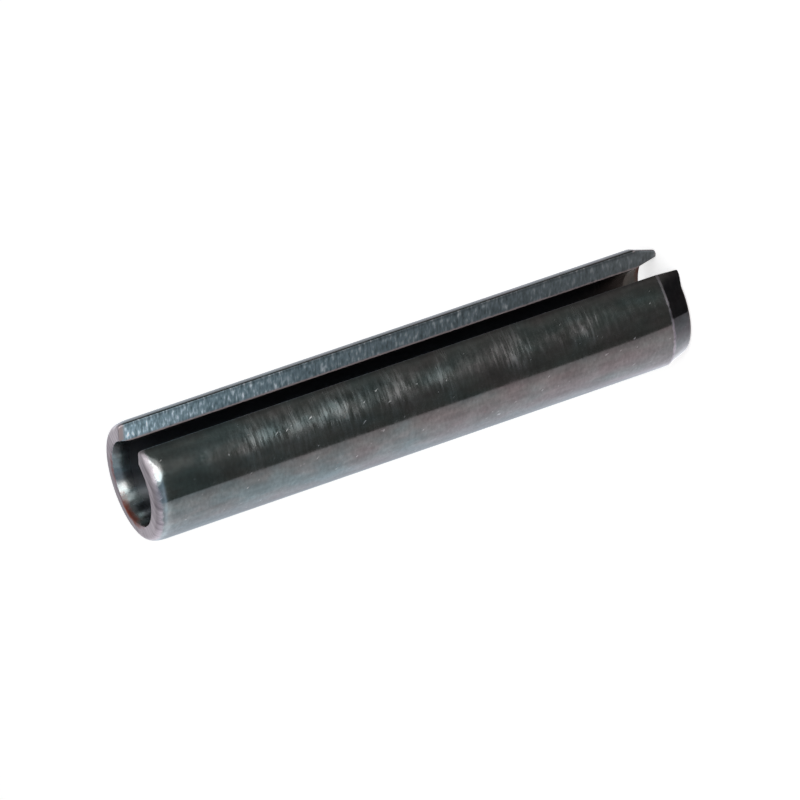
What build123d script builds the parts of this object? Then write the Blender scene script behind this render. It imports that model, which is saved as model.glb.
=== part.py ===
from build123d import *
import os

# Slotted spring roll pin for a 6 mm hole, 32 mm long: one strip of hardened spring steel
# rolled into an open tube. It is drawn in its free state, before it is driven into a hole.
# Millimetres. The pin stands on its lead end, as it would on a bench: +Z runs up its axis to
# the drive end, the slot opens towards -Y, and the origin is where the axis meets the bench.

# Rolled strip
free_diameter = 6.6  # outside, before driving: a 6 mm hole closes it to 6.0
wall = 1.1  # thickness of the strip
length = 32.0
slot_width = 2.36  # between the two lips, whose faces are parallel

# Lead end, which goes into the hole first
lead_taper_length = 1.3
lead_taper_depth = 0.40  # taken off the outside
lead_flare_length = 1.0
lead_flare_depth = 0.42  # taken off the inside
lead_rim_radius = 0.18  # outside edge of the end face
lead_bore_rim_radius = 0.06  # inside edge of the end face

# Drive end, which the hammer meets: hardly tapered, but well rounded
drive_taper_length = 0.9
drive_taper_depth = 0.06
drive_rim_radius = 0.45
drive_bore_rim_radius = 0.16

# Edges softened by tumbling
taper_blend_radius = 0.5  # where a taper meets the shank, and the flare the bore
lip_outer_radius = 0.10  # long outside edge of each lip
lip_inner_radius = 0.16  # long inside edge of each lip

# Worked out from the sizes above
outer_radius = free_diameter / 2
bore_radius = outer_radius - wall
lead_outer_radius = outer_radius - lead_taper_depth
lead_inner_radius = bore_radius + lead_flare_depth
drive_outer_radius = outer_radius - drive_taper_depth
lead_face_width = lead_outer_radius - lead_inner_radius
drive_face_width = drive_outer_radius - bore_radius

os.makedirs("parts", exist_ok=True)

with BuildPart() as spring_pin:
    # Cross-section: a ring, open at the front, where the two lips face each other
    with BuildSketch(Plane.XY) as section:
        Circle(outer_radius)
        Circle(bore_radius, mode=Mode.SUBTRACT)
        with Locations((0, -outer_radius)):
            Rectangle(slot_width, 2 * outer_radius, mode=Mode.SUBTRACT)
        lip_corners = section.vertices().sort_by(Axis.Y)
        fillet(lip_corners[2:4], min(lip_inner_radius, wall / 3))
        lip_corners = section.vertices().sort_by(Axis.Y)
        fillet(lip_corners[:2], min(lip_outer_radius, wall / 3))
    extrude(amount=length)

    # Turned envelope: the wall from end to end, with its tapers, its flare and its rims
    with BuildSketch(Plane.XZ) as envelope:
        with BuildLine():
            Polyline(
                (lead_inner_radius, 0),
                (lead_outer_radius, 0),
                (outer_radius, lead_taper_length),
                (outer_radius, length - drive_taper_length),
                (drive_outer_radius, length),
                (bore_radius, length),
                (bore_radius, lead_flare_length),
                close=True,
            )
        make_face()
        # Each corner is chosen again after the fillet before it, which renews them all
        lead_corners = envelope.vertices().group_by(Axis.Y)[0].sort_by(Axis.X)
        fillet(lead_corners[0], min(lead_bore_rim_radius, lead_face_width / 4))
        lead_corners = envelope.vertices().group_by(Axis.Y)[0].sort_by(Axis.X)
        fillet(lead_corners[-1], min(lead_rim_radius, lead_face_width / 1.5))
        drive_corners = envelope.vertices().group_by(Axis.Y)[-1].sort_by(Axis.X)
        fillet(drive_corners[0], min(drive_bore_rim_radius, drive_face_width / 4))
        drive_corners = envelope.vertices().group_by(Axis.Y)[-1].sort_by(Axis.X)
        fillet(drive_corners[-1], min(drive_rim_radius, drive_face_width / 2))
        shank_corners = envelope.vertices().group_by(Axis.X)[-1]
        fillet(shank_corners, taper_blend_radius)
        flare_corner = envelope.vertices().group_by(Axis.X)[0].sort_by(Axis.Y)[0]
        fillet(flare_corner, taper_blend_radius)
    revolve(axis=Axis.Z, mode=Mode.INTERSECT)

spring_pin.part.label = "spring_pin"
export_step(spring_pin.part, "parts/spring_pin.step")
print("spring_pin volume mm3", round(spring_pin.part.volume, 2))
print("faces", len(spring_pin.part.faces()))
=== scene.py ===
# %% [markdown]
# # A slotted spring pin
# The real pin is one strip of spring steel, rolled until its two long edges almost meet, cut to length,
# tapered at its lead end, hardened, blackened and oiled. Driven into a hole that is a little too small,
# it closes on its slot and holds by its own spring. It can't lie still on a slope, so it stands on its
# lead end: the bench is at z = 0, the axis is Z, and the slot opens towards -Y.
#
# A pin could be modelled by hand with a cylinder, a cut and a few bevels, but its rims are worn
# differently all round, which bevels can't follow. So its whole skin is worked out here as one grid of
# points. The imported part gives the size. It is loaded first, as a frame that is never moved or changed.

# %% The imported part
import math
import bpy
import numpy as np
from mathutils import Matrix, Vector


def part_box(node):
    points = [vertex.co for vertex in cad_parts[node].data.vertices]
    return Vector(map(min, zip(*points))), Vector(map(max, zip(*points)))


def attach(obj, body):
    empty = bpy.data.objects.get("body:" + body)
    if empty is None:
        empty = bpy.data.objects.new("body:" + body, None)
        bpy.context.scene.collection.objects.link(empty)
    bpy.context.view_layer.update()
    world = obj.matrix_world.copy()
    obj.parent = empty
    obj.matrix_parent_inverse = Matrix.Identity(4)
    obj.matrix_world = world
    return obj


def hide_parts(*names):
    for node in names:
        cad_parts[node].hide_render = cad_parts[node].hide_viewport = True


MM = 0.001

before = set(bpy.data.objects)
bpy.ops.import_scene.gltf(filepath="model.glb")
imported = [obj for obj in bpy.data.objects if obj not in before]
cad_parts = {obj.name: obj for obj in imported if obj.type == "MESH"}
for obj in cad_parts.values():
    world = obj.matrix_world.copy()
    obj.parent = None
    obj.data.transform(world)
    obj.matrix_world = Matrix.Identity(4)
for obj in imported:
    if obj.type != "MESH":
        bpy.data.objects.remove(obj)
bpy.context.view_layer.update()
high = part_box("spring_pin")[1]
length = high.z
outer_radius = high.x
print(f"spring pin: {length / MM:.2f} mm long, {2 * outer_radius / MM:.2f} mm across")

# %% [markdown]
# ## The wall, from end to end
# Cut along its axis, the tube shows its wall as a long thin shape: a straight bore, a straight shank, a
# tapered lead end with a small flare inside, and a drive end whose rim is worn round. A lathe profile
# drawn point by point would hold dozens of numbers. Here each side is the few corners that a drawing
# would give, and one function rounds them with true arcs.

# %% Corners rounded by arcs
def rounded_line(corners, radii, arc_steps=16):
    """Points along a line through the corners, with every inner corner rounded by an arc. An arc of radius R
    in a corner of angle b is centred R / sin(b / 2) from it, on the line that halves it, and its points turn
    evenly from one tangent point to the other. The line runs from the first arc's start to the last one's
    end."""
    corners = np.asarray(corners, float)
    arcs = []
    for before, corner, after, radius in zip(corners[:-2], corners[1:-1], corners[2:], radii):
        to_before = (before - corner) / np.linalg.norm(before - corner)
        to_after = (after - corner) / np.linalg.norm(after - corner)
        half = math.acos(np.clip(to_before @ to_after, -1, 1)) / 2
        middle = (to_before + to_after) / np.linalg.norm(to_before + to_after)
        centre = corner + middle * radius / math.sin(half)
        first = corner + to_before * radius / math.tan(half) - centre
        last = corner + to_after * radius / math.tan(half) - centre
        turn = math.pi - 2 * half
        share = np.linspace(0, 1, arc_steps)[:, None]
        swept = np.sin((1 - share) * turn) * first + np.sin(share * turn) * last
        arcs.append(centre + swept / math.sin(turn))
    return np.concatenate(arcs)


square_corner = rounded_line([(0, 0), (1, 0), (1, 1)], [0.5])
print(f"a square corner with a rounding of half its side: {len(square_corner)} points")

# %% [markdown]
# The drive end was struck by a hammer and tumbled with other pins, so its rim isn't a true arc: it starts
# gently and turns over quickly. An ellipse comes close, and a power above 2 makes it fuller, as worn rims
# are.

# %% A rim worn round
def worn_round(radius, reach, depth, fullness=2.5, steps=40):
    """A rim worn round at the drive end. It leaves a straight side of that radius at reach below the end and
    gets there depth further in or out, by the sign of depth. Both shares of the way obey
    across ** fullness + along ** fullness = 1: an ellipse for a fullness of 2, and squarer above it."""
    along = np.sin(np.linspace(0, math.pi / 2, steps))
    across = 1 - (1 - along**fullness) ** (1 / fullness)
    return np.stack([radius + depth * across, length - reach + reach * along], axis=1)


print(f"a rim worn 1 mm down and 0.4 mm in: {len(worn_round(outer_radius, MM, -0.4 * MM))} points")

# %% [markdown]
# Long straight stretches need few points and tight roundings need many. One rule spreads them over both:
# each stretch counts for its length plus an extra for how far it turns, and the points are set evenly by
# that.

# %% Points where the line turns
def spread_stations(line, count, turn_length=1.6 * MM):
    """The same line with count points. A stretch gets points by its length plus turn_length for each radian
    that it turns, so straight runs get few and tight roundings get many."""
    step = np.diff(line, axis=0)
    size = np.hypot(*step.T)
    line, step, size = line[np.r_[True, size > 0]], step[size > 0], size[size > 0]
    heading = np.unwrap(np.arctan2(step[:, 1], step[:, 0]))
    turn = np.abs(np.diff(heading)) / 2
    measure = size + turn_length * (np.r_[0, turn] + np.r_[turn, 0])
    reached = np.r_[0, np.cumsum(measure)]
    wanted = np.linspace(0, reached[-1], count)
    return np.stack([np.interp(wanted, reached, line[:, axis]) for axis in (0, 1)], axis=1)


print(f"spread again as 30 points: {len(spread_stations(square_corner, 30))}")

# %% [markdown]
# The bore is straight, because the strip was rolled round a mandrel, and it flares a little at both ends.
# It could be a cylinder cut by two cones, but as one line of corners its roundings come for free.

# %% The bore's side of the wall
wall = 1.1 * MM
bore_radius = outer_radius - wall
wall_middle = outer_radius - wall / 2
station_count = 400
lead_flare = [(bore_radius + 0.30 * MM, 0), (bore_radius, 1.2 * MM)]
lead_flare_radii = [0.06 * MM, 0.5 * MM]
drive_flare = [(bore_radius, length - 0.62 * MM), (bore_radius + 0.17 * MM, length)]
drive_flare_radii = [2.2 * MM, 0.07 * MM]
inner_corners = [(wall_middle, 0), *lead_flare, *drive_flare, (wall_middle, length)]
inner_line = rounded_line(inner_corners, lead_flare_radii + drive_flare_radii)
inner_side = spread_stations(inner_line, station_count)
print(f"bore: {2 * bore_radius / MM:.2f} mm across, with {station_count} stations from end to end")

# %% [markdown]
# Outside, the taper and the rims change round the ring. Beside the slot the forming tools reached less,
# so the lips keep more of their full radius at both ends. One function makes the side from four sizes,
# and it is called three times: for the shank and for each of the two lips.

# %% The outside of the wall
lead_taper_length = 1.3 * MM


def outer_side(taper_depth, rim_radius, rim_reach, rim_depth, blend_radius=0.2 * MM):
    """The outside of the wall as stations: lead rim, taper, shank and the worn rim of the drive end."""
    corners = [
        (bore_radius, 0),
        (outer_radius - taper_depth, 0),
        (outer_radius, lead_taper_length),
        (outer_radius, length / 2),
    ]
    lead = rounded_line(corners, [rim_radius, blend_radius])
    drive = worn_round(outer_radius, rim_reach, -rim_depth)
    return spread_stations(np.concatenate([lead, drive]), station_count)


shank_rim = {"rim_reach": 1.00 * MM, "rim_depth": 0.44 * MM}
lip_rim = {"rim_reach": 0.35 * MM, "rim_depth": 0.14 * MM}
shank_side = outer_side(taper_depth=0.46 * MM, rim_radius=0.38 * MM, **shank_rim)
back_lip_side = outer_side(taper_depth=0.40 * MM, rim_radius=0.18 * MM, **lip_rim)
front_lip_side = outer_side(taper_depth=0.10 * MM, rim_radius=0.10 * MM, **lip_rim)
print(f"flat left on the lead end: {(shank_side[0, 0] - inner_side[0, 0]) / MM:.3f} mm")

# %% [markdown]
# ## The open ring
# Seen from an end, the strip is a ring with a gap, and the gap's two faces, the lips, are parallel,
# because the strip was slit square before it was rolled. Their long edges are a little round. The section
# is one closed loop: round the outside, across a lip, back along the bore, and across the other lip. The
# outer and the inner radius of each station go in as columns, so one call gives the loops of all stations
# at once.

# %% A lip's path across the wall
half_slot = 1.18 * MM
corner_points = 5
face_points = 12


def lip_path(outer, inner, rounding_out, rounding_in):
    """One lip, from the outer circle to the inner one, as arrays of x and y with a row for each station.
    Each rounding is a circle that touches the lip's plane x = half_slot and the ring's own circle, so its
    centre lies at x = half_slot + rounding, and at the ring's radius less the rounding outside, or plus the
    rounding inside."""
    x_out = half_slot + rounding_out
    y_out = -np.sqrt((outer - rounding_out) ** 2 - x_out**2)
    x_in = half_slot + rounding_in
    y_in = -np.sqrt((inner + rounding_in) ** 2 - x_in**2)
    share = np.linspace(0, 1, corner_points)[None, :]
    from_outside = np.arctan2(y_out, x_out)
    to_inside = np.arctan2(-y_in, -x_in)
    angle_out = from_outside + (-math.pi - from_outside) * share
    angle_in = math.pi + (to_inside - math.pi) * share
    across = np.linspace(0, 1, face_points + 2)[None, 1:-1]
    x_face = np.broadcast_to(half_slot, (len(outer), face_points))
    y_face = y_out + (y_in - y_out) * across
    x = [x_out + rounding_out * np.cos(angle_out), x_face, x_in + rounding_in * np.cos(angle_in)]
    y = [y_out + rounding_out * np.sin(angle_out), y_face, y_in + rounding_in * np.sin(angle_in)]
    return np.concatenate(x, axis=1), np.concatenate(y, axis=1)


print(f"a lip's path has {2 * corner_points + face_points} points")

# %% [markdown]
# The two lips end differently at the lead end, so each is made from its own outer profile. Where the
# taper leaves hardly any wall, the roundings shrink with it, or they would run into each other.

# %% The two lips
lip_outer_rounding = 0.095 * MM
lip_inner_rounding = 0.09 * MM


def lip_at(side):
    """The lip's path and its heights for one outer profile. Heights run evenly from outside to inside, and
    no rounding takes more than a third of the wall."""
    outer, inner = side[:, :1], inner_side[:, :1]
    third = (outer - inner) / 3
    roundings = [np.minimum(rounding, third) for rounding in (lip_outer_rounding, lip_inner_rounding)]
    x, y = lip_path(outer, inner, *roundings)
    run = np.hypot(np.diff(x[station_count // 2]), np.diff(y[station_count // 2]))
    depth = np.r_[0, np.cumsum(run)] / run.sum()
    return x, y, side[:, 1:] + (inner_side[:, 1:] - side[:, 1:]) * depth, depth


right_x, right_y, right_z, depth = lip_at(back_lip_side)
left_x, left_y, left_z, _ = lip_at(front_lip_side)
lip_points = right_x.shape[1]
middle_station = station_count // 2
lip_width = right_y[middle_station, -1] - right_y[middle_station, 0]
print(f"each lip: {lip_points} points across {lip_width / MM:.2f} mm")

# %% [markdown]
# Nothing on a worn part starts or stops at a line. Two small curves do the fading from here on: a smooth
# step from one state to another, and a bell round a place.

# %% Easing and bells
def ease(share):
    """A smooth step from 0 to 1: three times the square less twice the cube."""
    share = np.clip(share, 0, 1)
    return share**2 * (3 - 2 * share)


def bump_at(values, centre, width):
    """A bell curve: 1 at the centre, and 0.37 at width away."""
    return np.exp(-(((values - centre) / width) ** 2))


print(f"a quarter of the way is eased to {ease(0.25):.2f}; a bell one width away is {bump_at(1, 0, 1):.2f}")

# %% [markdown]
# The rest of the ring runs from lip to lip. Just beside a lip it has the lip's own radius and height, and
# a few degrees on it has those of the shank. Two profiles joined at a line would leave a crease along the
# pin, so an eased share blends the one into the other.

# %% Round the tube from lip to lip
arc_points = 88
lip_fade = math.radians(16)


def ring_arc(column, side):
    """Points round the ring, by equal angles, from the right lip's end point to the left one's. At a lip
    they have that lip's radius and height, and within the angle lip_fade they reach those of the side."""
    right = [values[:, column, None] for values in (right_x, right_y, right_z)]
    left = [values[:, column, None] for values in (left_x, left_y, left_z)]
    start, end = np.arctan2(right[1], right[0]), math.pi - np.arctan2(left[1], left[0])
    angle = start + (end - start) * np.linspace(0, 1, arc_points)[None, :]
    right_share = 1 - ease((angle - start) / lip_fade)
    left_share = 1 - ease((end - angle) / lip_fade)
    radius, height = side[:, :1], side[:, 1:]
    to_right, to_left = np.hypot(*right[:2]) - radius, np.hypot(*left[:2]) - radius
    radius = radius + to_right * right_share + to_left * left_share
    height = height + (right[2] - height) * right_share + (left[2] - height) * left_share
    return radius * np.cos(angle), radius * np.sin(angle), height


outer_arc = ring_arc(0, shank_side)
inner_arc = ring_arc(-1, inner_side)
left_lip = (-left_x, left_y, left_z)
right_lip = (right_x, right_y, right_z)
loop = np.stack(
    [
        np.concatenate([outside, left[:, 1:-1], inside[:, ::-1], right[:, -2:0:-1]], axis=1)
        for outside, left, inside, right in zip(outer_arc, left_lip, inner_arc, right_lip)
    ],
    axis=-1,
)
loop_count = loop.shape[1]
print(f"each section is a loop of {loop_count} points")

# %% [markdown]
# The strip was cut to length a little out of square, so on the +X side the lead end stands clear of the
# bench. The rise is eased in beside the slot, fades out round the back, and dies away three millimetres
# up the pin.

# %% An end cut out of square
lead_rise = 0.41 * MM
rise_reach = 3 * MM
rise_from, rise_full, rise_gone = -47, -27, 64  # degrees from +X
turn = np.degrees(np.arctan2(loop[..., 1], loop[..., 0]))
rise_share = ease((turn - rise_from) / (rise_full - rise_from)) * ease((rise_gone - turn) / rise_gone)
loop[..., 2] += lead_rise * rise_share * ease(1 - loop[..., 2] / rise_reach)
print(f"the lead end stands on the bench over {np.mean(loop[0, :, 2] < 0.01 * MM):.0%} of its loop")

# %% [markdown]
# ## One closed skin
# The real surface has no seam, so its mesh has none. The loops give the long sides: each quad joins two
# neighbours of one loop to the same two of the next, and a loop's last point is its first one's neighbour.

# %% The long sides
rows = np.arange(station_count)[:, None] * loop_count
columns = np.arange(loop_count)[None, :]
following = (columns + 1) % loop_count
side_faces = np.stack(
    [rows[:-1] + columns, rows[:-1] + following, rows[1:] + following, rows[1:] + columns], axis=-1
).reshape(-1, 4)
points = loop.reshape(-1, 3)
print(f"long sides: {len(side_faces)} quads")

# %% [markdown]
# An end could be closed with one many-sided face, but that shades badly, and a fan of triangles would
# meet in a pole. So each end face is a second grid, which shares the loop's points as its border and
# fills the inside by blending opposite borders.

# %% The end faces
def end_border(station):
    """The loop's point numbers at one end, as a frame of lip_points rows by arc_points columns: the outer
    arc is the first row, the inner arc the last one, and the two lips are the first and the last column."""
    first = station * loop_count
    border = np.full((lip_points, arc_points), -1)
    border[0] = first + np.arange(arc_points)
    border[1:-1, -1] = first + arc_points + np.arange(lip_points - 2)
    border[-1] = (first + arc_points + lip_points - 2 + np.arange(arc_points))[::-1]
    border[1:-1, 0] = (first + 2 * arc_points + lip_points - 2 + np.arange(lip_points - 2))[::-1]
    return border


def end_face(station, first_new, flip):
    """New points and faces that close one end. Inside the frame, a point is the blend of the four borders:
    the two across, plus the two along, less the four corners, which both of them counted (a Coons
    patch)."""
    index = end_border(station)
    top, bottom = points[index[:1]], points[index[-1:]]
    left, right = points[index[:, :1]], points[index[:, -1:]]
    v = depth[:, None, None]
    u = np.linspace(0, 1, arc_points)[None, :, None]
    top_corners = (1 - u) * top[:, :1] + u * top[:, -1:]
    bottom_corners = (1 - u) * bottom[:, :1] + u * bottom[:, -1:]
    patch = (1 - v) * (top - top_corners) + v * (bottom - bottom_corners) + (1 - u) * left + u * right
    inside = patch[1:-1, 1:-1].reshape(-1, 3)
    index[1:-1, 1:-1] = first_new + np.arange(len(inside)).reshape(lip_points - 2, arc_points - 2)
    quads = np.stack([index[:-1, :-1], index[:-1, 1:], index[1:, 1:], index[1:, :-1]], axis=-1)
    quads = quads.reshape(-1, 4)
    return inside, quads[:, ::-1] if flip else quads


lead_points, lead_faces = end_face(0, len(points), True)
drive_points, drive_faces = end_face(station_count - 1, len(points) + len(lead_points), False)
print(f"each end face: {len(lead_faces)} quads")

# %% [markdown]
# Points and faces go into the mesh at once. The pin stands in for the imported solid and moves with the
# part's only body.

# %% The mesh
points = np.concatenate([points, lead_points, drive_points])
faces = np.concatenate([side_faces, lead_faces, drive_faces])
mesh = bpy.data.meshes.new("spring_pin_dressed")
mesh.from_pydata(points.tolist(), [], faces.tolist())
mesh.shade_smooth()
pin = bpy.data.objects.new("blackened_pin", mesh)
bpy.context.scene.collection.objects.link(pin)
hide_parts("spring_pin")
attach(pin, "root")
print(f"skin: {len(points)} points, {2 * len(faces)} triangles")

# %% [markdown]
# ## Where the pin is worn
# Wear has a place on a real part. Tumbling rubbed the black off the end faces, the rim of the drive end
# and the long edges of the lips, pins rubbed against each other in rings round the shank, and damp got at
# the rims of the bore. On the inner edges of the lips the pale rubbed line is also a painted glint, which
# grows towards the drive end. Noise alone can't know this, and painting it by hand couldn't be repeated.
# So each kind of wear is worked out from the place of every point and kept as an attribute, which the
# materials read and break up with noise.

# %% Bare rims and edges, with a painted glint on the lips' inner edges
def grows(values, start, reach):
    """0 up to the start and 1 from start + reach on, eased between. With a negative reach it is turned
    round: 1 up to start + reach and 0 from the start on."""
    return ease((values - start) / reach)


x, y, z = points.T
radius = np.hypot(x, y)
outside_flare = grows(radius, bore_radius + 0.13 * MM, 0.06 * MM)
outermost = grows(radius, outer_radius - 0.12 * MM, 0.06 * MM)
on_lip = bump_at(np.abs(x), half_slot + 0.02 * MM, 0.08 * MM) * (y < 0)
inner_edge_wear_and_glint = on_lip * bump_at(radius, bore_radius + 0.04 * MM, 0.08 * MM)
outer_edge = on_lip * bump_at(radius, outer_radius - 0.02 * MM, 0.09 * MM)
bare_and_glint_places = [  # strength, place
    (1.0, grows(z, length - 0.52 * MM, 0.46 * MM) * outside_flare),  # drive end and its rim
    (1.0, grows(z, 0.05 * MM, -0.05 * MM)),  # lead end
    # The lips' inner edges: rubbed metal and a painted glint, which grows towards the drive end.
    (0.8 + 0.4 * z / length, inner_edge_wear_and_glint),  # the lips' edges, rubbed more towards the drive end inside
    (0.3, outer_edge),
    (0.78, bump_at(z, lead_taper_length, 0.1 * MM) * outermost),  # the edge where the taper starts
]
# worn holds the bare rims and edges, and on the lips' inner edges a painted glint as well.
worn = np.max([strength * place for strength, place in bare_and_glint_places], axis=0)
print(f"worn bare: {np.mean(worn > 0.5):.1%} of the points")

# %% [markdown]
# A pin rolls and slides against its neighbours in the box, which leaves bunches of fine scuffs, each
# bunch a ring at one height. Below the drive end there is also a faint even scuffing over the whole
# shank. A pin with a slot doesn't roll all the way round: it rocks on the side beside its slot, so the
# scuffs are fainter farther round.

# %% Rings of scuffs
scuff_rings = [  # height and half width in millimetres, strength
    (28.4, 0.6, 0.25),
    (25.9, 1.2, 0.8),
    (23.4, 0.8, 0.7),
    (21.0, 1.9, 0.9),
    (17.4, 1.1, 0.9),
    (14.6, 0.7, 0.9),
    (10.6, 1.6, 0.95),
    (6.2, 1.6, 0.8),
]
rings = [share * bump_at(z, height * MM, width * MM) for height, width, share in scuff_rings]
scuffs_at_lead_end, scuffs_at_drive_end = 0.35, 0.65
even_scuffs = scuffs_at_lead_end + (scuffs_at_drive_end - scuffs_at_lead_end) * z / length
even_scuffs *= grows(z, 28 * MM, -2 * MM)
strong_to, faint_from, faint_share = 55, 72, 0.4  # degrees round from the slot, and a share
from_slot = np.degrees(np.abs(np.arctan2(x, -y)))
round_share = faint_share + (1 - faint_share) * grows(from_slot, faint_from, strong_to - faint_from)
scuffed = np.maximum(np.max(rings, axis=0), even_scuffs) * round_share
print(f"scuffed: {np.mean(scuffed > 0.5):.1%} of the points, in {len(scuff_rings)} rings")

# %% [markdown]
# Oil creeps away from sharp inner edges first, so that is where damp starts rust: two spots at the drive
# end and two at the lead end. Deeper in, the bore kept all of its oxide, as a flat neutral grey.

# %% Rust spots and the bore
rust_spots = [  # azimuth in degrees, height, half widths round and up in millimetres, strength
    (80, 32.0, 1.2, 0.26, 1.0),
    (15, 32.0, 1.0, 0.07, 0.6),
    (-12, 0.4, 0.8, 0.35, 0.68),
    (-62, 0.9, 0.5, 0.4, 0.8),
]
azimuth = np.arctan2(y, x)
in_bore = grows(radius, bore_radius + 0.5 * MM, -0.25 * MM)
deep_in_bore = in_bore * grows(z, length - 0.5 * MM, -0.9 * MM) * grows(z, 1 * MM, 4 * MM)


def spot(turn_degrees, height, width, rise, strength):
    """A soft round spot on the bore: one bell along the rim, by the arc, times another one up the bore."""
    away = (azimuth - math.radians(turn_degrees) + math.pi) % (2 * math.pi) - math.pi
    return strength * bump_at(away * bore_radius, 0, width * MM) * bump_at(z, height * MM, rise * MM)


rust = in_bore * np.max([spot(*rust_spot) for rust_spot in rust_spots], axis=0)
print(f"rusty: {np.mean(rust > 0.5):.1%} of the points")

# %% [markdown]
# Scuffs and drawing marks follow the strip, not the room, so the points also keep the place they had in
# the flat strip before rolling: across it by the arc at the outside, along it, and through it. The arc is
# counted from the back, so that its two ends meet at the slot, where there is no metal.

# %% Attributes
wear = {"worn": worn, "scuffed": scuffed, "rust": rust, "in_bore": in_bore, "deep_in_bore": deep_in_bore}
for name, values in wear.items():
    mesh.attributes.new(name, "FLOAT", "POINT").data.foreach_set("value", values.astype(np.float32))
strip = np.stack([np.arctan2(x, y) * outer_radius, z, radius], axis=1).astype(np.float32)
mesh.attributes.new("strip", "FLOAT_VECTOR", "POINT").data.foreach_set("vector", strip.ravel())
print(f"the flat strip was {np.ptp(strip[:, 0]) / MM:.1f} mm wide at its outer face")

# %% [markdown]
# ## Colours and nodes
# Colours are written as they look on a screen, in hex, and a shader works in linear light, so one
# function turns the one into the other.

# %% Colours
def linear(hex_colour):
    """An sRGB hex colour as linear red, green, blue and alpha."""
    values = np.array([int(hex_colour[i : i + 2], 16) / 255 for i in (1, 3, 5)])
    return (*np.where(values <= 0.04045, values / 12.92, ((values + 0.055) / 1.055) ** 2.4), 1.0)


print(f"mid grey #808080 is {linear('#808080')[0]:.3f} in linear light")

# %% [markdown]
# Node trees could be wired by hand, but they grow long. One function adds any node with its settings,
# values and links in one call. Patterns are noise of a known grain: a Mapping node divides the place by
# the grain's size along each axis, and the noise itself stays at a scale of 1.

# %% Nodes
def socket(sockets, name):
    """The socket with this identifier or, failing that, with this name."""
    return next((found for found in sockets if found.identifier == name), None) or sockets[name]


def add(tree, kind, inputs=None, output=0, ramp=None, **settings):
    """Adds a node and returns one of its outputs. inputs gives each socket a value or the output that feeds
    it, ramp gives a colour ramp its stops, and settings are the node's own properties."""
    new = tree.nodes.new("ShaderNode" + kind)
    for name, value in settings.items():
        setattr(new, name, value)
    for name, value in (inputs or {}).items():
        if isinstance(value, bpy.types.NodeSocket):
            tree.links.new(value, socket(new.inputs, name))
        else:
            socket(new.inputs, name).default_value = value
    for number, (position, colour) in enumerate(ramp or ()):
        stops = new.color_ramp.elements
        stop = stops[number] if number < 2 else stops.new(position)
        stop.position, stop.color = position, colour
    return new.outputs[output] if isinstance(output, int) else socket(new.outputs, output)


def new_material(name, values):
    """A material whose Principled shader has these values all over, as (material, tree, shader)."""
    material = bpy.data.materials.new(name)
    material.use_nodes = True
    shader = material.node_tree.nodes["Principled BSDF"]
    for socket_name, value in values.items():
        shader.inputs[socket_name].default_value = value
    return material, material.node_tree, shader


def grains(*sizes_mm):
    """The Mapping scale that gives a pattern grains of these sizes in millimetres along the three axes."""
    return [1 / (size * MM) for size in sizes_mm]


print(f"grains of 0.5 mm need a scale of {grains(0.5)[0]:.0f}")

# %% [markdown]
# ## The blackened skin
# The steel is hot-blackened: a bath of hot caustic salts turns the surface of the cold-rolled, hardened
# strip into black oxide (magnetite) about a thousandth of a millimetre thick. It could be drawn as black
# paint, but it isn't one: light goes through the thin oxide to the metal, so the pin mirrors its
# surroundings darkly, like smoked glass, and keeps the metal's hard highlights. So it is a metal here,
# with a dark tone.
#
# Rolling stretched the finish round the pin, which spreads its highlights along the axis. That is its
# anisotropy, turned a quarter because the tangent runs round the axis.

# %% Black oxide on cold-rolled spring steel
rolled_steel = {"Metallic": 1.0, "Anisotropic": 0.75, "Anisotropic Rotation": 0.25}
oxide_skin, tree, shader = new_material("black_oxide_rolled_steel", rolled_steel)
round_axis = add(tree, "Tangent", direction_type="RADIAL", axis="Z")
tree.links.new(round_axis, shader.inputs["Tangent"])
kept = {name: add(tree, "Attribute", output="Fac", attribute_name=name) for name in wear}
print(f"{oxide_skin.name} reads {', '.join(kept)}")

# %% [markdown]
# Black oxide is never even. Seen close, it holds soft clouds where it grew thicker or thinner (cloud,
# patina), its crystals (grain), the marks of drawing the strip (draws), scuffs (lines, broken up by
# patches), the straight marks of cutting and grinding the ends (rubs) and small nicks. The last pattern,
# edges, frays the outline of bare metal and rust. Painted pictures could hold all this, but noise needs
# no picture and shows no seam. What follows the surface reads the flat strip, and the rest the place.
#
# Crystals, drawing marks, scuffs and grinding marks are a hundredth of a millimetre wide and less, too
# fine to show, so grain, draws, lines and rubs are drawn about ten times as coarse.

# %% Patterns in the oxide
place = add(tree, "TexCoord", output="Object")
on_strip = add(tree, "Attribute", output="Vector", attribute_name="strip")
slant = (0, 0, math.radians(35))
slanted_strip = add(tree, "Mapping", {"Vector": on_strip, "Rotation": slant})
slanted_place = add(tree, "Mapping", {"Vector": place, "Rotation": slant})
patterns = {  # what it reads, its grains in millimetres along the three axes, its levels of finer detail
    "cloud": (place, (1.4, 1.4, 2.6), 3),
    "patina": (on_strip, (0.7, 1.6, 1.0), 3),
    "grain": (on_strip, (0.28, 0.17, 1.0), 2),
    "draws": (on_strip, (0.3, 2.4, 1.0), 3),
    "lines": (on_strip, (1.1, 0.12, 1.0), 2),
    "patches": (on_strip, (0.8, 0.42, 1.0), 2),
    "edges": (place, (0.35, 0.35, 0.35), 3),
    "rubs": (slanted_place, (1.8, 0.19, 2.0), 2),
    "nicks": (slanted_strip, (0.16, 0.42, 1.0), 1),
}
noise = {}
for name, (read, sizes, detail) in patterns.items():
    scaled = add(tree, "Mapping", {"Vector": read, "Scale": grains(*sizes)})
    noise[name] = add(tree, "TexNoise", {"Vector": scaled, "Scale": 1, "Detail": detail}, output="Fac")
print(f"patterns: {', '.join(noise)}")

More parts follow.
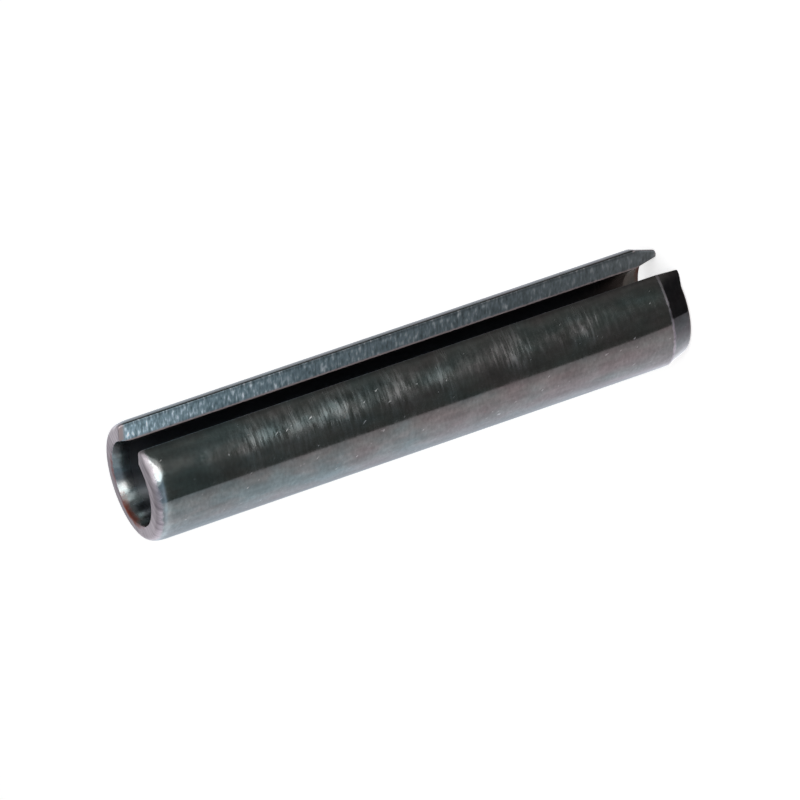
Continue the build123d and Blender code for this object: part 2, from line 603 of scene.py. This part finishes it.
# %% [markdown]
# A mask is 1 where a kind of wear shows and 0 where it doesn't. Each could be its noise times the
# strength of its place, but that fades like a mist, and real wear is either there or not. So bare metal
# and rust show where the strength plus the noise passes a threshold, and they fray where the place
# fades. Scuffs need both a line and a patch. Nicks are the few highest peaks of their noise, and only on
# the outside, because nothing knocks against the bore.

# %% Where wear shows
lines_in_patches = {"Factor_Float": 0.45, "A_Float": noise["lines"], "B_Float": noise["patches"]}
scuff = add(tree, "Mix", lines_in_patches, output="Result_Float")
scuff = add(tree, "MapRange", {"Value": scuff, "From Min": 0.36, "From Max": 0.63})
scuff = add(tree, "Math", {0: scuff, 1: kept["scuffed"]}, operation="MULTIPLY")
frayed = {}
for name, none_below, all_above in (("worn", 0.75, 1.25), ("rust", 0.7, 1.4)):
    total = add(tree, "Math", {0: kept[name], 1: noise["edges"]}, operation="ADD")
    frayed[name] = add(tree, "MapRange", {"Value": total, "From Min": none_below, "From Max": all_above})
outside = add(tree, "MapRange", {"Value": kept["in_bore"], "To Min": 1.0, "To Max": 0.0})
nick = add(tree, "MapRange", {"Value": noise["nicks"], "From Min": 0.73, "From Max": 0.84})
nick = add(tree, "Math", {0: nick, 1: outside}, operation="MULTIPLY")
print(f"masks for scuffs, nicks, {' and '.join(frayed)}, with {len(tree.nodes)} nodes so far")

# %% [markdown]
# The oxide itself is a dark grey, browner towards the lead end and teal towards the drive end, and the
# two meet in clouds. One flat colour would look like paint, so its brightness goes up and down by up to a
# sixth: finely by the crystals and drawing marks, and softly by the patina. The bore is a little paler.

# %% The oxide's tone
height = add(tree, "SeparateXYZ", {"Vector": place}, output="Z")
drift = {"Value": height, "From Min": 4 * MM, "From Max": 31 * MM, "To Min": -0.12, "To Max": 0.12}
tint = add(tree, "Math", {0: add(tree, "MapRange", drift), 1: noise["cloud"]}, operation="ADD")
tints = [(0.3, linear("#7a7474")), (0.5, linear("#797a79")), (0.72, linear("#6f7b7c"))]
tone = add(tree, "ValToRGB", {"Fac": tint}, output="Color", ramp=tints)
crystals = {"Factor_Float": 0.4, "A_Float": noise["grain"], "B_Float": noise["draws"]}
crystals = add(tree, "Mix", crystals, output="Result_Float")
shades = [  # a pattern, the range of it that counts, and how dark and how pale it makes the oxide
    (crystals, 0.35, 0.65, 0.86, 1.14),
    (noise["patina"], 0.3, 0.7, 0.84, 1.16),
    (kept["in_bore"], 0.0, 1.0, 1.0, 1.15),
]
brightness = 1.0
for value, low, high, darkest, palest in shades:
    shade = {"Value": value, "From Min": low, "From Max": high, "To Min": darkest, "To Max": palest}
    shade = add(tree, "MapRange", shade)
    brightness = add(tree, "Math", {0: brightness, 1: shade}, operation="MULTIPLY")
colour_mix = {"output": "Result_Color", "data_type": "RGBA"}
shaded = {"Factor_Float": 1.0, "A_Color": tone, "B_Color": brightness}
tone = add(tree, "Mix", shaded, blend_type="MULTIPLY", **colour_mix)
print(f"the oxide has {len(tints)} tints and {len(shades)} kinds of shade")

# %% [markdown]
# Wear lies over the oxide in layers. A material of its own for each would need hard borders. Here each
# layer is a mask, a colour and a roughness, mixed over what lies below it: the deep bore, a dull neutral
# grey; bare metal on the rims, matt from tumbling and streaked from cutting; rust, which is the roughest;
# and nicks, which are bright. Scuffs change the roughness only.

# %% Layers of wear
smooth, scuffed_rough, bore_rough = 0.12, 0.385, 0.21
rough = smooth
for mask, roughness in ((scuff, scuffed_rough), (kept["in_bore"], bore_rough)):
    rough = {"Factor_Float": mask, "A_Float": rough, "B_Float": roughness}
    rough = add(tree, "Mix", rough, output="Result_Float")
streaks = add(tree, "MapRange", {"Value": noise["rubs"], "From Min": 0.25, "From Max": 0.75})
bare_metal = {"Factor_Float": streaks, "A_Color": linear("#7c757b"), "B_Color": linear("#b9b2b6")}
bare_metal = add(tree, "Mix", bare_metal, **colour_mix)
layers = [  # mask, colour, roughness
    (kept["deep_in_bore"], linear("#84868b"), 0.32),
    (frayed["worn"], bare_metal, 0.40),
    (frayed["rust"], linear("#9c5d4e"), 0.70),
    (nick, linear("#b4b2b2"), 0.40),
]
for mask, colour, roughness in layers:
    tone = add(tree, "Mix", {"Factor_Float": mask, "A_Color": tone, "B_Color": colour}, **colour_mix)
    rough = {"Factor_Float": mask, "A_Float": rough, "B_Float": roughness}
    rough = add(tree, "Mix", rough, output="Result_Float")
tree.links.new(tone, shader.inputs["Base Color"])
tree.links.new(rough, shader.inputs["Roughness"])
print(f"{len(layers)} layers over the oxide")

# %% [markdown]
# Crystals and the burrs of scuffs stand up by a thousandth or two of a millimetre. That is far too small
# for the mesh, but it bends the mirror image, so a bump draws it.

# %% The oxide's relief
relief_depth = 0.0018 * MM
relief = {"Factor_Float": 0.5, "A_Float": scuff, "B_Float": noise["grain"]}
relief = add(tree, "Mix", relief, output="Result_Float")
bump = add(tree, "Bump", {"Height": relief, "Distance": relief_depth, "Strength": 1.0})
tree.links.new(bump, shader.inputs["Normal"])
print(f"{oxide_skin.name}: {len(tree.nodes)} nodes")

# %% [markdown]
# ## The sheared lips
# The strip was slit with a shear. A shear cuts a little way in and then tears the rest, so the lips are
# matt and flecked, with short tears across their thickness, and the oxide took on them more thickly and
# bluer than on the smooth faces. They could share the skin's material, but hardly a value would be the
# same. So they have their own: a dull, partly metallic one, because fine tears scatter most of the
# light. Tears are a tenth of a millimetre and more, so they are drawn at their real size.

# %% Black oxide on a sheared edge
lip_skin, tree, shader = new_material("black_oxide_sheared_edge", {"Metallic": 0.3, "Roughness": 0.42})
place = add(tree, "TexCoord", output="Object")
tears, flecks = ((1.0, 0.90, 0.25), 3), ((1.0, 0.42, 0.13), 2)  # grains in millimetres, finer detail
torn = []
for sizes, detail in (tears, flecks):
    scaled = add(tree, "Mapping", {"Vector": place, "Scale": grains(*sizes)})
    torn.append(add(tree, "TexNoise", {"Vector": scaled, "Scale": 1, "Detail": detail}, output="Fac"))
torn = {"Factor_Float": 0.55, "A_Float": torn[0], "B_Float": torn[1]}
torn = add(tree, "Mix", torn, output="Result_Float")
torn_depth = 0.03 * MM
bump = add(tree, "Bump", {"Height": torn, "Distance": torn_depth, "Strength": 1.0})
tree.links.new(bump, shader.inputs["Normal"])
print(f"{lip_skin.name}: tears {torn_depth / MM:.2f} mm deep")

# %% [markdown]
# The tears change along the pin: towards the drive end the flecks stand out more and the tone is bluer.
# The tone is brighter there too, and that is painted light, strongest at the drive end and fading towards
# the lead end. A colour ramp turns the tears into tones, and the height up the pin drives three things:
# how far the tears spread over the ramp, how bright the result is, and how much colour it has. The shear's
# first bite also left a smooth dark margin along the outer edge.

# %% The lips' tone, with painted light along the pin
height = add(tree, "SeparateXYZ", {"Vector": place}, output="Z")
up_the_pin = {"Value": height, "From Min": 0.0, "From Max": length}
contrast = add(tree, "MapRange", {**up_the_pin, "To Min": 0.6, "To Max": 1.15})
middle_of_ramp = 0.5
spread = add(tree, "Math", {0: torn, 1: middle_of_ramp}, operation="SUBTRACT")
spread = add(tree, "Math", {0: spread, 1: contrast, 2: middle_of_ramp}, operation="MULTIPLY_ADD")
tones = [(0.34, linear("#46575e")), (0.54, linear("#7b909b")), (0.72, linear("#dfe8f0"))]
tone = add(tree, "ValToRGB", {"Fac": spread}, output="Color", ramp=tones)

# Painted light: the lips grow brighter from the lead end to the drive end.
lead_painted_light, drive_painted_light_gain, painted_light_power = 0.68, 1.35, 3.0
gain = add(tree, "Math", {0: add(tree, "MapRange", up_the_pin), 1: painted_light_power}, operation="POWER")
brightness = add(tree, "Math", {0: gain, 1: drive_painted_light_gain, 2: lead_painted_light}, operation="MULTIPLY_ADD")
on_strip = add(tree, "Attribute", output="Vector", attribute_name="strip")
from_axis = add(tree, "SeparateXYZ", {"Vector": on_strip}, output="Z")
bite = {"Value": from_axis, "From Min": outer_radius - 0.26 * MM, "From Max": outer_radius - 0.10 * MM}
bite = add(tree, "MapRange", {**bite, "To Min": 1.0, "To Max": 0.45})
brightness = add(tree, "Math", {0: brightness, 1: bite}, operation="MULTIPLY")
saturation = {**up_the_pin, "From Max": 0.8 * length, "To Min": 0.45, "To Max": 1.0}
toned = {"Color": tone, "Saturation": add(tree, "MapRange", saturation), "Value": brightness}
tone = add(tree, "HueSaturation", toned, output="Color")
print(f"lips: {lead_painted_light:.2f} bright, and {lead_painted_light + drive_painted_light_gain:.2f} at the drive end")

# %% [markdown]
# The long edges of the lips are rubbed to grey metal, and on the inner edges the pale line is also a
# painted glint. The tears break the rubbed line up, as they do on the real edge, where only what stands
# proud is touched.

# %% Their rubbed edges, with a painted glint
lip_wear_and_glint = add(tree, "Attribute", output="Fac", attribute_name="worn")
rubbed_and_glinting = add(tree, "Math", {0: lip_wear_and_glint, 1: torn}, operation="ADD")
rubbed_and_glinting = add(tree, "MapRange", {"Value": rubbed_and_glinting, "From Min": 0.75, "From Max": 1.3})
# Rubbed metal in a pinkish grey, which is also a painted glint on the inner edges.
tone = {"Factor_Float": rubbed_and_glinting, "A_Color": tone, "B_Color": linear("#b0a3a4")}
tone = add(tree, "Mix", tone, **colour_mix)
tree.links.new(tone, shader.inputs["Base Color"])
print(f"{lip_skin.name}: {len(tree.nodes)} nodes")

# %% [markdown]
# Each face now gets one of the two finishes. Choosing them by hand would have to be done again after
# every change of the grid. The faces lie in the grid's own order, so one row of numbers, 1 on the lips
# and 0 elsewhere, is repeated for every station.

# %% A finish for each face
mesh.materials.append(oxide_skin)
mesh.materials.append(lip_skin)
loop_zone = np.zeros(loop_count, int)
loop_zone[arc_points + 1 : arc_points + lip_points - 3] = 1
loop_zone[2 * arc_points + lip_points - 1 : -2] = 1
end_zone = np.zeros(len(lead_faces) + len(drive_faces), int)
zones = np.concatenate([np.tile(loop_zone, station_count - 1), end_zone])
mesh.polygons.foreach_set("material_index", zones)
print(f"{np.mean(zones == 1):.1%} of the faces are sheared lips")

# %% [markdown]
# ## The bench and the room
# A small part is usually shown on white, evenly lit. Lighting the bench until it turns white would wash
# out the pin. So the bench is plain matt white paint, plus a glow of about half strength that only the
# camera, metal and glass can see: the pin's soft shadow stays, and the light on the pin doesn't change.

# %% The bench
def stage_piece(name, corners, quads):
    """A piece of the stage, which isn't part of the object."""
    piece_mesh = bpy.data.meshes.new(name)
    piece_mesh.from_pydata(corners, [], quads)
    piece = bpy.data.objects.new(name, piece_mesh)
    bpy.context.scene.collection.objects.link(piece)
    return piece


def to_eyes_and_mirrors(tree):
    """1 for the rays by which the camera, metal and glass see a thing, and 0 for those by which it gives
    light."""
    seen = add(tree, "LightPath", output="Is Camera Ray")
    for also in ("Is Glossy Ray", "Is Transmission Ray"):
        seen = add(tree, "Math", {0: seen, 1: add(tree, "LightPath", output=also)}, operation="MAXIMUM")
    return seen


bench_half = 1.5
own_glow = 0.58
bench_corners = [(sx * bench_half, sy * bench_half, 0) for sx, sy in ((-1, -1), (1, -1), (1, 1), (-1, 1))]
bench = stage_piece("bench", bench_corners, [(0, 1, 2, 3)])
matt_white = {"Base Color": linear("#f4f4f4"), "Roughness": 1.0, "Specular IOR Level": 0.0}
bench_paint, tree, shader = new_material("matt_white_bench", matt_white)
seen_glow = add(tree, "Math", {0: to_eyes_and_mirrors(tree), 1: own_glow}, operation="MULTIPLY")
white = add(tree, "Emission", {"Color": (1, 1, 1, 1), "Strength": seen_glow})
both = add(tree, "AddShader", {"Shader": shader.outputs["BSDF"], "Shader_001": white})
tree.links.new(both, tree.nodes["Material Output"].inputs["Surface"])
bench.data.materials.append(bench_paint)
print(f"bench: {2 * bench_half} m square")

# %% [markdown]
# The room round the bench does the same: it lights at less than half strength, and looks white. A darker
# room would show as a grey backdrop, and a brighter one would wash out the shadow.

# %% The room
room_light, room_look = 0.45, 1.0
world = bpy.data.worlds.new("soft_room")
bpy.context.scene.world = world
world.use_nodes = True
room_tree = world.node_tree
background = room_tree.nodes["Background"]
background.inputs["Color"].default_value = (1, 1, 1, 1)
seen = to_eyes_and_mirrors(room_tree)
strength = add(room_tree, "MapRange", {"Value": seen, "To Min": room_light, "To Max": room_look})
room_tree.links.new(strength, background.inputs["Strength"])
print(f"the room lights at {room_light} and looks {room_look}")

# %% [markdown]
# ## The camera
# A long lens from half a metre away, which keeps the two ends of the pin nearly the same size, as a
# catalogue picture does. A short lens close up would swell the near end. The camera looks down at the
# pin a little and is rolled on its side, so that the standing pin runs across the picture. Its three
# directions, back from the pin, to the right and up, are built from those three angles.

# %% Camera
camera_azimuth, camera_elevation, camera_roll = map(math.radians, (-139.34, 20.11, -108.92))
level_back = Vector((math.cos(camera_azimuth), math.sin(camera_azimuth), 0))
level_right = Vector((-level_back.y, level_back.x, 0))
camera_back = math.cos(camera_elevation) * level_back + math.sin(camera_elevation) * Vector((0, 0, 1))
upright = camera_back.cross(level_right)
camera_right = math.cos(camera_roll) * level_right + math.sin(camera_roll) * upright
camera_up = camera_back.cross(camera_right)

camera_distance = 490 * MM
moved_left, moved_down = 0.105 * MM, 0.450 * MM
pin_middle = Vector((0, 0, length / 2))
camera_place = pin_middle + camera_distance * camera_back
camera_place -= moved_left * camera_right + moved_down * camera_up
camera_data = bpy.data.cameras.new("camera")
camera_data.sensor_width = 36
camera_data.lens = 415.7
camera_data.clip_start = 0.01
camera = bpy.data.objects.new("camera", camera_data)
bpy.context.scene.collection.objects.link(camera)
camera_turn = Matrix((camera_right, camera_up, camera_back)).transposed()
camera.matrix_world = Matrix.Translation(camera_place) @ camera_turn.to_4x4()
bpy.context.scene.camera = camera
bpy.context.scene.view_settings.view_transform = "Standard"
print(f"camera: azimuth {math.degrees(camera_azimuth):.1f} degrees, {camera_distance} m from the pin")

# %% [markdown]
# ## What the metal mirrors
# Dark metal shows little of its own colour, and nearly all that the eye reads on it is the mirror image
# of the room: white cards, dark cards, and the edges between them. A studio stands such cards round
# a shiny part. Here they are one closed surround, a floor and a dome, that only mirror-like rays can see,
# so it neither lights the pin's shadows nor hides the bench. So the surround is a painted reflection: it
# glows but is no lamp, and its tones are the bands of light and dark on the shank.
#
# The pin stands upright and the camera looks down on it, so the whole shank mirrors the surround's floor.
# A point of the shank turned by an angle from the camera mirrors the floor at twice that angle, and the
# higher it is, the further out. A card whose edge runs straight away from the pin is therefore mirrored
# as one straight line along the shank. That is how each card is painted: colours by the angle round the
# pin, from one border round to the same border.

# %% A floor and a dome
surround_radius = 250 * MM
smallest_ring = 0.2 * MM
above_bench = 0.01 * MM
floor_rings = [smallest_ring, 4 * MM, 30 * MM, 120 * MM, surround_radius]
ring_turns = 72
climbs = 16
turn_angle = np.linspace(0, 2 * math.pi, ring_turns, endpoint=False)
climb = np.linspace(0, math.pi / 2, climbs)[1:-1]
ring_radius = np.r_[floor_rings, surround_radius * np.cos(climb), smallest_ring][:, None]
ring_height = np.r_[[above_bench] * len(floor_rings), surround_radius * np.sin(climb), surround_radius]
ring_height = ring_height[:, None]
ring_x, ring_y = ring_radius * np.cos(turn_angle), ring_radius * np.sin(turn_angle)
surround_points = np.stack(np.broadcast_arrays(ring_x, ring_y, ring_height), axis=-1).reshape(-1, 3)
this = np.arange(len(ring_radius) * ring_turns).reshape(len(ring_radius), ring_turns)
next_one = np.roll(this, -1, axis=1)
surround_quads = np.stack([this[:-1], next_one[:-1], next_one[1:], this[1:]], axis=-1).reshape(-1, 4)
surround = stage_piece("studio_surround", surround_points.tolist(), surround_quads.tolist())
for rays in ("camera", "diffuse", "transmission", "shadow", "volume_scatter"):
    setattr(surround, f"visible_{rays}", False)
print(f"surround: {len(surround_quads)} quads, seen only by mirror-like rays")

# %% [markdown]
# Three cards make the surround. The floor card is mirrored by the shank: dark on the camera's side, with
# two faint bright stretches, and bright beyond the border, pale mauve near it and bluer further round.
# The foot card, right at the pin's foot, is mirrored by the lead taper, which looks down steeply: nearly
# black, darker than the floor card by painted shade for the pin's contact shadow, then brighter towards the
# lower edge. The wall card is mirrored by the rims and the end face.

# %% The three cards
floor_border, floor_offset = 54.2, 2.15 * MM
foot_border, foot_offset = 40.4, 1.06 * MM
floor_card = [  # azimuth from the camera's in degrees, radiance in red, green and blue
    (-54.2, (0.115, 0.123, 0.116)),
    (-38, (0.122, 0.130, 0.123)),
    (-20, (0.137, 0.149, 0.141)),
    (6, (0.149, 0.173, 0.163)),
    (22, (0.135, 0.152, 0.145)),
    (39, (0.194, 0.204, 0.195)),
    (56, (0.127, 0.132, 0.129)),
    (120, (0.120, 0.125, 0.122)),
    (-222, (0.50, 0.53, 0.58)),
    (-202, (0.58, 0.61, 0.67)),
    (-180, (0.62, 0.68, 0.76)),
    (-152, (0.68, 0.74, 0.82)),
    (-128, (1.12, 1.16, 1.28)),
    (-107, (1.10, 1.12, 1.20)),
    (-87, (0.99, 0.95, 1.00)),
    (-70, (0.87, 0.82, 0.84)),
    (-59, (0.66, 0.61, 0.63)),
    (-54.4, (0.60, 0.56, 0.58)),
]
# Painted shade: on its dark side the foot card is darker than the floor card, for the contact shadow.
foot_shadow_card = [
    (-40.4, (0.035, 0.035, 0.039)),
    (6, (0.036, 0.036, 0.040)),
    (26, (0.100, 0.095, 0.096)),
    (45, (0.240, 0.228, 0.230)),
    (-180, (1.60, 1.64, 1.72)),
    (-128, (1.60, 1.64, 1.72)),
    (-87, (1.20, 1.22, 1.33)),
    (-64, (0.66, 0.67, 0.74)),
    (-50, (0.37, 0.37, 0.41)),
    (-40.6, (0.28, 0.28, 0.31)),
]
wall_card = [
    (-54.2, (0.62, 0.72, 0.86)),
    (-20, (0.50, 0.60, 0.72)),
    (6, (0.30, 0.33, 0.36)),
    (40, (0.20, 0.21, 0.22)),
    (120, (0.30, 0.30, 0.30)),
    (-222, (0.90, 0.90, 0.93)),
    (-180, (0.98, 0.97, 1.02)),
    (-128, (1.15, 1.14, 1.22)),
    (-87, (1.00, 1.02, 1.12)),
]
print(f"cards: {len(floor_card)}, {len(foot_shadow_card)} and {len(wall_card)} stops")

# %% [markdown]
# A real card is a sheet of paper on a stand. Here it is painted on the surround: a gradient that runs
# round a point gives the angle, and a colour ramp gives the card's colour at that angle.

# %% How a card shines
def shine(tree, place, card, border, offset):
    """The radiance of a card round the axis. Its border is a straight edge that starts offset from the axis
    and runs off at the border's angle; the sweep round that start is 0 and 1 at the border."""
    turn = camera_azimuth - math.radians(border)
    start = (-offset * math.sin(turn), offset * math.cos(turn), 0)
    from_border = {"Vector": place, "Location": start, "Rotation": (0, 0, turn - math.pi)}
    turned = add(tree, "Mapping", from_border, vector_type="TEXTURE")
    sweep = add(tree, "TexGradient", {"Vector": turned}, output="Fac", gradient_type="RADIAL")
    stops = [((angle + border) % 360 / 360, (*colour, 1)) for angle, colour in card]
    return add(tree, "ValToRGB", {"Fac": sweep}, output="Color", ramp=stops)


glow, tree, shader = new_material("painted_reflection_glow", {})
tree.nodes.remove(shader)
place = add(tree, "TexCoord", output="Object")
foot_glow = shine(tree, place, foot_shadow_card, foot_border, foot_offset)
floor_glow = shine(tree, place, floor_card, floor_border, floor_offset)
wall_glow = shine(tree, place, wall_card, floor_border, floor_offset)
print(f"{glow.name}: {len(tree.nodes)} nodes for its cards")

# %% [markdown]
# One material paints all of them, because cards on meshes of their own would leave gaps. Each fades into
# the next by the distance from the pin, or by the height. Two plain tones join them: a dim one under the
# bore, which the bore's flare mirrors, and a grey one overhead. The dim one is painted shade, where the
# wall keeps the light from the floor. The worn rim of the drive end looks over the shank's part of the
# floor at what lies further out, and that is painted brighter.

# %% Where each card shows
from_axis = add(tree, "VectorMath", {0: place}, output="Value", operation="LENGTH")
height = add(tree, "SeparateXYZ", {"Vector": place}, output="Z")
# Painted shade under the bore, and a plain grey overhead.
shade_under_bore, overhead = (0.24, 0.205, 0.19, 1), (0.5, 0.5, 0.52, 1)
fades = [  # what the fade goes by, the millimetres where it starts and is complete, and what it shows
    (from_axis, 4.2, 5.4, floor_glow),
    (from_axis, 2.86, 2.78, shade_under_bore),
    (height, 0.5, 12, wall_glow),
    (height, 90, 220, overhead),
]
shown = foot_glow
for value, start, complete, other in fades:
    share = add(tree, "MapRange", {"Value": value, "From Min": start * MM, "From Max": complete * MM})
    shown = add(tree, "Mix", {"Factor_Float": share, "A_Color": shown, "B_Color": other}, **colour_mix)
# Painted brighter floor far out, for the drive end's rim to mirror.
far_gain = 1.7
far_out = {"Value": from_axis, "From Min": 92 * MM, "From Max": 160 * MM, "To Min": 1.0, "To Max": far_gain}
far_out = add(tree, "MapRange", far_out)
low_down = {"Value": height, "From Min": 10 * MM, "From Max": 60 * MM, "To Min": far_out, "To Max": 1.0}
light = add(tree, "Emission", {"Color": shown, "Strength": add(tree, "MapRange", low_down)})
tree.links.new(light, tree.nodes["Material Output"].inputs["Surface"])
surround.data.materials.append(glow)
print(f"{glow.name}: {len(tree.nodes)} nodes")

# %% [markdown]
# ## Lamps
# Two lamps stand on the camera's side, a little above the drive end. The wide one is the softbox, which
# makes the shadow and a soft sheen on the worn rim. The smaller one is its brighter core, which gives the
# hard white highlight on the rim and wakes the scuffs up. A lamp's power is radiance times pi times its
# area, so the brightness that the metal mirrors is what is chosen here.

# %% Softbox and its core
def softbox(name, width, height, radiance, turn_degrees, distance, lift):
    """An elliptical area lamp of one radiance, at a turn from the camera's azimuth, that faces the drive
    end. Its power is radiance times pi times its area, which is pi / 4 times its width and height."""
    data = bpy.data.lights.new(name, "AREA")
    data.shape = "ELLIPSE"
    data.size, data.size_y = width, height
    area = math.pi / 4 * width * height
    data.energy = radiance * math.pi * area
    lamp = bpy.data.objects.new(name, data)
    bpy.context.scene.collection.objects.link(lamp)
    turn = camera_azimuth + math.radians(turn_degrees)
    place = Vector((distance * math.cos(turn), distance * math.sin(turn), lift))
    back = (place - Vector((0, 0, length))).normalized()
    lamp.matrix_world = Matrix.Translation(place) @ back.to_track_quat("Z", "Y").to_matrix().to_4x4()


wide = {"width": 124 * MM, "height": 124 * MM, "radiance": 1.3}
core = {"width": 54 * MM, "height": 50 * MM, "radiance": 4.3}
softbox("key_softbox", turn_degrees=12, distance=100 * MM, lift=62 * MM, **wide)
softbox("key_core", turn_degrees=3, distance=98 * MM, lift=40 * MM, **core)
print(f"lamps: {', '.join(lamp.name for lamp in bpy.data.lights)}")
